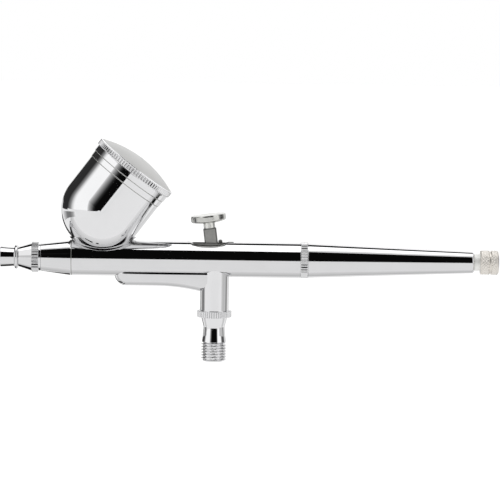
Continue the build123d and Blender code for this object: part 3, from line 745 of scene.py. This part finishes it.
class AIRBRUSH_OT_rim(bpy.types.Operator):
    """Build the two stepped bands round the cup's rim, with a thin ring of painted shade at each step"""

    bl_idname = "airbrush.rim"
    bl_label = "Cup rim bands"

    def execute(self, context):
        rim, band, cup_r = CUP_RIM, 2.1, 13.6
        low, middle = rim - 2 * band, rim - band
        where = cup_place(context.scene.airbrush_sizes)
        bands = rounded(
            [
                (low + 0.06, cup_r - 0.1),
                (low + 0.14, cup_r + 0.18),
                (middle - 0.1, cup_r + 0.18),
                (middle, cup_r + 0.05),
                (middle + 0.1, cup_r + 0.38),
                (rim - 0.2, cup_r + 0.38),
                (rim, cup_r + 0.2),
                (rim, cup_r - 0.3),
            ],
            0.06,
        )
        grid = turned(bands, where, around=300)
        make_piece("rim_bands", [grid], ["chrome_plate_cup"])
        # thin rings of painted shade at the two steps
        for name, z, r in (("rim_groove_low", low, cup_r + 0.02), ("rim_groove_high", middle, cup_r + 0.2)):
            grid = turned(ring_band(z - 0.14, z + 0.08, r - 0.2, r, r + 0.02), where, around=300)
            make_piece(name, [grid], ["groove_painted_shade"])
        return {"FINISHED"}


class AIRBRUSH_OT_dish(bpy.types.Operator):
    """Lay the milled surface, darkened as painted shade, in the two scoops beside the trigger's slot"""

    bl_idname = "airbrush.dish"
    bl_label = "Finger scoops"

    def execute(self, context):
        mid_x, ball, depth, land, skin = -2.1, 18.3, 1.4, 2.4, 0.015
        centre_z = BARREL_R - depth + ball
        land_top = math.sqrt(BARREL_R**2 - land**2)
        half = math.sqrt(ball**2 - (centre_z - land_top) ** 2)
        x = np.linspace(mid_x - half, mid_x + half, 81)[:, None]
        floor_z = centre_z - np.sqrt(ball**2 - (x - mid_x) ** 2)
        reach_y = np.sqrt(np.maximum(BARREL_R**2 - floor_z**2, land**2)) - skin
        down, out = np.linspace(0, 1, 9)[None, :], np.linspace(0, 1, 13)[None, :]
        wall_z = land_top - 0.02 + down * (floor_z + skin - land_top + 0.02)
        floor_y = land + skin + out * np.maximum(reach_y - land - skin, 0)
        y = np.concatenate(
            [land + skin + 0 * wall_z, floor_y, floor_y[:, ::-1], land - skin + 0 * wall_z], axis=1
        )
        z = np.concatenate(
            [wall_z, floor_z + skin + 0 * floor_y, floor_z - skin + 0 * floor_y, wall_z[:, ::-1] - skin],
            axis=1,
        )
        y, z = np.append(y, y[:, :1], axis=1), np.append(z, z[:, :1], axis=1)
        shut = np.ones_like(x)
        shut[0] = shut[-1] = 0
        y, z = y[:, :1] + shut * (y - y[:, :1]), z[:, :1] + shut * (z - z[:, :1])
        for name, side in (("scoop_left", -1), ("scoop_right", 1)):
            shell = np.stack([x + 0 * y, side * y, BARREL_Z + z], axis=-1)
            make_piece(name, [shell], ["milled_dish_painted_shade"])
        return {"FINISHED"}


class AIRBRUSH_OT_connector(bpy.types.Operator):
    """Build the hose connector: ribbed ring, waisted neck and screw thread"""

    bl_idname = "airbrush.connector"
    bl_label = "Hose connector"

    def execute(self, context):
        sizes = context.scene.airbrush_sizes
        pitch = sizes.thread_pitch / MM
        top, ring, knurl_end = STEM_END_Z, CONNECTOR_R, STEM_END_Z - 2.2
        thread_top, tip_z, root, crest = -26.9, -33.2, 3.5, 4.06
        neck_z = np.linspace(knurl_end - 0.02, thread_top, 60)
        waist_z = [thread_top, -25.9, -25.0, -23.3, -22.3, -21.9, -20.8, -18.9]
        waist_r = [3.95, 3.8, 3.66, 3.53, 3.465, 3.46, 3.75, 4.25]
        neck_r = np.interp(neck_z, waist_z, waist_r)
        soft = np.array([1, 4, 6, 4, 1]) / 16
        neck_r[2:-2] = np.convolve(neck_r, soft, mode="valid")
        neck = weighted(np.stack([neck_z, neck_r], axis=1))
        ribs = rounded(
            [
                (top, 3.3, 0),
                (top, ring - 0.35, 0),
                (top - 0.12, ring, 1),
                (knurl_end + 0.12, ring, 1),
                (knurl_end, ring - 0.35, 0),
                (knurl_end, 4.3, 0),
            ],
            0.08,
            closed=False,
        )
        bore = weighted([(tip_z, 2.4), (-12.4, 2.4), (-12.4, 1.3), (-11.4, 1.3), (-11.4, 3.3), (top, 3.3)])
        collar = weighted([(thread_top - 0.04, 3.9), (thread_top - 0.1, root)])
        tip = weighted([(tip_z + 0.08, root), (tip_z, root - 0.1)])
        thread_z = np.linspace(thread_top - 0.12, tip_z + 0.1, 96)
        fade = np.minimum(1, np.minimum(thread_top - 0.12 - thread_z, thread_z - tip_z - 0.1) / 0.45)
        thread = np.stack([thread_z, root + 0 * thread_z, fade], axis=1)
        upper = np.concatenate([bore, ribs[1:], neck, collar])
        upper_grid = turned(upper, valve_place(), around=528, wave=flutes(44, depth=0.4, power=4))
        thread_grid = turned(thread, valve_place(), around=528, wave=screw_ridge(pitch, crest - root))
        link_top = np.stack([upper_grid[-1], thread_grid[0]])
        tip_grid = turned(np.concatenate([tip, bore[:1]]), valve_place(), around=528)
        link_low = np.stack([thread_grid[-1], tip_grid[0]])
        make_piece(
            "hose_coupling",
            [upper_grid, link_top, thread_grid, link_low, tip_grid],
            ["chrome_plate_valve"],
            replaced=["hose_connector"],
        )
        return {"FINISHED"}


class AIRBRUSH_OT_button(bpy.types.Operator):
    """Build the trigger's dished finger button"""

    bl_idname = "airbrush.button"
    bl_label = "Finger button"

    def execute(self, context):
        sizes = context.scene.airbrush_sizes
        r, top, low, dish_depth = BUTTON_R, 19.0, 16.3, 0.6
        dish = cap_arc(0, r - 0.4, r - 0.35, 0, dish_depth, 24)
        dish[:, 0] = top - dish_depth - dish[:, 0]
        rim = rounded(
            [
                (top - 0.01, r - 0.4),
                (top, r - 0.34),
                (top - 0.1, r - 0.1),
                (top - 0.4, r),
                (low + 0.95, r - 0.03),
                (low + 0.6, r - 0.3),
                (low + 0.25, 4.3),
                (low, 2.6),
                (low, 1.05),
                (low + 1.45, 1.05),
                (low + 1.45, 0.0),
            ],
            0.22,
            closed=False,
        )
        outline = weighted(np.concatenate([dish, rim]))
        grid = turned(outline, trigger_place(sizes), around=240)
        make_piece(
            "finger_button", [grid], ["burnished_steel"], "trigger", ["trigger_button"]
        )
        return {"FINISHED"}


class AIRBRUSH_OT_springs(bpy.types.Operator):
    """Wind the valve spring and the needle spring, each shortened by the joint that presses it"""

    bl_idname = "airbrush.springs"
    bl_label = "Springs"

    def execute(self, context):
        valve = coiled(valve_place(), along=-20.7, length=6.2, radius=1.5, wire=0.25, pitch=1.05)
        piece = make_piece(
            "valve_coil", [valve], ["spring_wire"], "airbrush_body", ["valve_spring"]
        )
        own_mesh(piece)
        needle = coiled(barrel_place(), along=5.75, length=18.9, radius=2.7, wire=0.28, pitch=1.55)
        piece = make_piece(
            "needle_coil", [needle], ["spring_wire"], "airbrush_body", ["needle_spring"]
        )
        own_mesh(piece)
        return {"FINISHED"}


class AIRBRUSH_OT_handle(bpy.types.Operator):
    """Build the knurled rear ring, the tapered handle and the stop knob"""

    bl_idname = "airbrush.handle"
    bl_label = "Handle and stop knob"

    def execute(self, context):
        depth = context.scene.airbrush_sizes.knurl_depth / MM
        x0, x1, r = RING_X, HANDLE_X, BARREL_R
        band = knurled(
            [(x0, SOCKET_R), (x0, r - 0.12), (x0 + 0.04, r - 0.03), (x0 + 0.1, r), (x0 + 0.22, r)],
            (x0 + 0.3, r),
            (x1 - 0.3, r),
            33,
            [
                (x1 - 0.22, r),
                (x1 - 0.1, r),
                (x1 - 0.04, r - 0.03),
                (x1, r - 0.12),
                (x1, SOCKET_R),
                (x0, SOCKET_R),
            ],
        )
        grid = turned(band, barrel_place(), around=480, wave=flutes(40, depth=1.6 * depth, power=3))
        make_piece("grip_ring", [grid], ["chrome_plate_barrel_painted_shade"], replaced=["rear_ring"])
        end, end_r = HANDLE_END_X, 3.5
        taper = rounded(
            [
                (x1, SOCKET_R),
                (x1, HANDLE_R),
                (end - 0.45, end_r),
                (end, end_r - 0.45),
                (end, 2.75),
                (end - 2.9, 2.75),
                (end - 2.9, 1.25),
                (end - 10.1, 1.25),
                (end - 10.1, 2.3),
                (end - 32.1, 2.3),
                (end - 32.1, 3.5),
                (end - 46.5, 3.5),
                (end - 46.5, SOCKET_R),
            ],
            [0.05, 0.12, 0.6, 0.3, 0.08] + 8 * [0.05],
            steps=7,
        )
        make_piece(
            "tapered_handle", [turned(taper, barrel_place())], ["chrome_plate_barrel_painted_shade"], replaced=["handle"]
        )
        k, hole, knurl = KNOB_R, 1.62, diamonds(26, pitch=1.0, depth=1.2 * depth, power=3)
        a, b = LOCK_X, KNOB_X
        lock = knurled(
            [(a, hole), (a, k - 0.3), (a + 0.06, k - 0.14), (a + 0.16, k - 0.05), (a + 0.24, k)],
            (a + 0.3, k),
            (b - 0.3, k),
            25,
            [(b - 0.22, k), (b - 0.12, k - 0.05), (b - 0.03, k - 0.14), (b, k - 0.3), (b, hole), (a, hole)],
        )
        grid = turned(lock, barrel_place(), around=480, wave=knurl)
        make_piece("lock_nut", [grid], ["satin_nickel_knob"], "stop", ["lock_ring"])
        a, b = KNOB_X, KNOB_END_X
        knob = knurled(
            [
                (a + 1.5, 0.0),
                (a + 1.5, hole),
                (a, hole),
                (a, k - 0.3),
                (a + 0.08, k - 0.24),
                (a + 0.36, k - 0.24),
                (a + 0.44, k - 0.16),
                (a + 0.54, k - 0.05),
                (a + 0.64, k),
            ],
            (a + 0.72, k),
            (b - 0.66, k),
            20,
            [
                (b - 0.55, k),
                (b - 0.45, k - 0.04),
                (b - 0.3, k - 0.2),
                (b - 0.06, k - 0.52),
                (b, k - 0.66),
                (b, k - 0.8),
                (b - 0.02, 0.0),
            ],
        )
        grid = turned(knob, barrel_place(), around=480, wave=knurl)
        make_piece("stop_knob_grip", [grid], ["satin_nickel_knob"], "stop", ["stop_knob"])
        return {"FINISHED"}


# ---- studio ----
def glowing(name):
    """Lit diffusion cloth: its brightness at each point is the sheet's own glow."""
    material = bpy.data.materials.new(name)
    material.use_nodes = True
    tree = material.node_tree
    tree.nodes.clear()
    glow = add_node(tree, "ShaderNodeAttribute", {"attribute_name": "glow"}).outputs["Fac"]
    light = add_node(tree, "ShaderNodeEmission", links={"Strength": glow}, Color=(1, 1, 1, 1))
    add_node(tree, "ShaderNodeOutputMaterial", links={"Surface": light.outputs["Emission"]})
    return material


def studio_sheet(name, points, material, glow=None, seen=False):
    """A sheet of the studio from a grid of points in metres, with a brightness at each of its points.
    Boxes and flags show in reflections alone."""
    mesh = bpy.data.meshes.new(name)
    mesh.from_pydata(points.reshape(-1, 3).tolist(), [], corners(*points.shape[:2]).tolist())
    mesh.materials.append(material)
    if glow is not None:
        brightness = mesh.attributes.new("glow", "FLOAT", "POINT").data
        brightness.foreach_set("value", glow.astype(np.float32).ravel())
    sheet = bpy.data.objects.new(name, mesh)
    bpy.context.scene.collection.objects.link(sheet)
    if not seen:
        sheet.visible_camera = sheet.visible_diffuse = sheet.visible_shadow = False


def bent_sheet(side_from, side_to, up_from, up_to, radius, centre, glow):
    """Part of a ball round the object, by azimuth from -Y towards +X and elevation, in degrees:
    point = centre + radius * (sin az cos el, -cos az cos el, sin el). The glow follows the azimuth."""
    az = np.linspace(side_from, side_to, 33)[:, None]
    el = np.radians(np.linspace(up_from, up_to, 17))[None, :]
    level = np.interp(az, *glow) + 0 * el
    az = np.radians(az)
    x, y, z = np.sin(az) * np.cos(el), -np.cos(az) * np.cos(el), np.sin(el) + 0 * az
    return centre + radius * np.stack([x, y, z], axis=-1), level


def long_sheet(x_to, up_from, up_to, radius, centre, glow, bow=0.0):
    """Part of a tube along X over the object, by angle about X from -Y upwards, in degrees:
    point = centre + (x, -radius cos a, radius sin a). Its first edge bows up by bow * x^2. The glow
    follows the angle."""
    x = np.linspace(-x_to, x_to, 65)[:, None]
    share = np.linspace(0, 1, 33)[None, :]
    edge = up_from + bow * np.minimum(x**2, 0.09)
    angle = edge + share * (up_to - edge)
    level = np.interp(angle, *glow)
    a = np.radians(angle)
    return centre + np.stack([x + 0 * a, -radius * np.cos(a), radius * np.sin(a)], axis=-1), level


class AIRBRUSH_OT_studio(bpy.types.Operator):
    """Set up the pale floor, the soft boxes and flags, and the camera"""

    bl_idname = "airbrush.studio"
    bl_label = "Studio"

    def execute(self, context):
        scene, studio = context.scene, context.scene.airbrush_studio
        world = bpy.data.worlds.new("white_room")
        scene.world = world
        world.use_nodes = True
        world.node_tree.nodes["Background"].inputs["Color"].default_value = (1, 1, 1, 1)
        world.node_tree.nodes["Background"].inputs["Strength"].default_value = 1.0
        scene.view_settings.view_transform = "Standard"
        view_x, view_z = 11.33 * MM, 36.3 * MM
        centre = np.array([view_x, 0, BARREL_Z * MM])

        # matt white paper that glows a little, so that the floor meets the white room with no edge
        paper = bpy.data.materials.new("floor_paper")
        paper.use_nodes = True
        tree = paper.node_tree
        shader = tree.nodes["Principled BSDF"]
        shader.inputs["Base Color"].default_value = linear("#F2F2F2")
        shader.inputs["Roughness"].default_value = 0.9
        shader.inputs["Emission Color"].default_value = (1, 1, 1, 1)
        shader.inputs["Emission Strength"].default_value = 0.18
        span = np.linspace(-8, 8, 5)
        floor = np.stack(np.broadcast_arrays(span[:, None], span[None, :], -studio.floor_drop), axis=-1)
        studio_sheet("floor", floor, paper, seen=True)

        # lit cloth and black flags: the white and dark bands in the chrome
        cloth = glowing("diffusion_cloth")
        box, dark, black = studio.softbox, 0.004, [0.01, 0.01]
        far, over, near, close = 3.0, 2.9, 0.44, 0.2
        head, cap = centre + np.array([-0.1415, 0, 0]), centre + np.array([-0.0813, 0, 0])
        sheets = {
            "front_flag_top": bent_sheet(
                -44, 33, 30, 62, far, centre, ([-44, -38, -33, 28, 33], [0.5, 0.02, dark, dark, 0.3])
            ),
            "front_flag": bent_sheet(
                -42,
                33,
                -2,
                30,
                far,
                centre,
                ([-42, -37, -31, -26, -21, 28, 33], [0.95, 0.5, 0.22, 0.04, dark, dark, 0.3]),
            ),
            "top_box": long_sheet(2.4, 57.5, 110, over, centre, ([0, 180], [box, box]), 220),
            "back_gap": long_sheet(2.4, 110, 131, over, centre, ([0, 180], [dark, dark])),
            "back_box": long_sheet(2.4, 131, 176, over, centre, ([131, 160, 176], [1.4, 1.4, 0.85])),
            "back_low": bent_sheet(140, 220, -30, 4, near, centre, ([140, 220], [0.85, 0.85])),
            "under_flag": long_sheet(
                1.2, -130, -84, 0.21, centre, ([-130, -120, -105, -92, -84], [0.72, 0.72, 0.82, 0.93, 1.0])
            ),
            "head_flag": long_sheet(0.03, -176, -104, close, head, ([-176, -104], black)),
            "cap_flag": long_sheet(0.008, -176, -104, close, cap, ([-176, -104], black)),
            "left_box": bent_sheet(
                -112, -42, -1, 52, far, centre, ([-112, -106, -99, -90, -84], [0.05, 0.17, 0.36, 1.0, 1.3])
            ),
            "left_dark": bent_sheet(-158, -112, -3, 46, far, centre, ([-158, -112], [0.035, 0.035])),
            "left_low": bent_sheet(
                -134,
                -82,
                -12,
                -3,
                near,
                centre,
                ([-134, -120, -112, -98, -88, -82], [0.9, 0.55, 0.26, 0.24, 0.5, 1.0]),
            ),
            "right_box": bent_sheet(33, 78, -1, 50, far, centre, ([33, 40, 70, 78], [0.6, 1.35, 1.35, 0.5])),
            "right_dark": bent_sheet(
                78, 126, -1, 34, far, centre, ([78, 88, 108, 126], [0.5, 0.1, 0.12, 0.6])
            ),
            "right_low": bent_sheet(
                54,
                126,
                -12,
                -1,
                near,
                centre,
                ([54, 66, 80, 95, 104, 112, 126], [1.0, 0.72, 0.66, 0.75, 0.3, 0.35, 0.8]),
            ),
        }
        for name, (points, level) in sheets.items():
            studio_sheet(name, points, cloth, level)

        data = bpy.data.cameras.new("camera")
        sensor = 36
        data.sensor_width = sensor
        data.lens = sensor * studio.distance / studio.field
        data.clip_end = 100
        camera = bpy.data.objects.new("camera", data)
        scene.collection.objects.link(camera)
        target = Vector((view_x, 0, view_z))
        back = Vector((0, -math.cos(studio.elevation), math.sin(studio.elevation)))
        aim = (-back).to_track_quat("-Z", "Y").to_matrix().to_4x4()
        spot = Matrix.Translation(target + back * studio.distance)
        camera.matrix_world = spot @ aim @ Matrix.Rotation(studio.roll, 4, "Z")
        scene.camera = camera
        return {"FINISHED"}


STEPS = (
    AIRBRUSH_OT_finishes,
    AIRBRUSH_OT_head,
    AIRBRUSH_OT_lid,
    AIRBRUSH_OT_rim,
    AIRBRUSH_OT_dish,
    AIRBRUSH_OT_connector,
    AIRBRUSH_OT_button,
    AIRBRUSH_OT_springs,
    AIRBRUSH_OT_handle,
    AIRBRUSH_OT_studio,
)


class AIRBRUSH_PT_panel(bpy.types.Panel):
    bl_idname = "AIRBRUSH_PT_panel"
    bl_label = "Airbrush"
    bl_space_type = "VIEW_3D"
    bl_region_type = "UI"
    bl_category = "Airbrush"

    def draw(self, context):
        scene = context.scene
        for group in (scene.airbrush_sizes, scene.airbrush_finishes, scene.airbrush_studio):
            for name in group.__annotations__:
                self.layout.prop(group, name)
        for step in STEPS:
            self.layout.operator(step.bl_idname)


CLASSES = (AirbrushSizes, AirbrushFinishes, AirbrushStudio) + STEPS + (AIRBRUSH_PT_panel,)


def register():
    for cls in CLASSES:
        bpy.utils.register_class(cls)
    bpy.types.Scene.airbrush_sizes = PointerProperty(type=AirbrushSizes)
    bpy.types.Scene.airbrush_finishes = PointerProperty(type=AirbrushFinishes)
    bpy.types.Scene.airbrush_studio = PointerProperty(type=AirbrushStudio)


def unregister():
    del bpy.types.Scene.airbrush_studio
    del bpy.types.Scene.airbrush_finishes
    del bpy.types.Scene.airbrush_sizes
    for cls in reversed(CLASSES):
        bpy.utils.unregister_class(cls)


def main():
    register()
    bpy.ops.airbrush.finishes()
    bpy.ops.airbrush.head()
    bpy.ops.airbrush.lid()
    bpy.ops.airbrush.rim()
    bpy.ops.airbrush.dish()
    bpy.ops.airbrush.connector()
    bpy.ops.airbrush.button()
    bpy.ops.airbrush.springs()
    bpy.ops.airbrush.handle()
    bpy.ops.airbrush.studio()


if __name__ == "__main__":
    main()
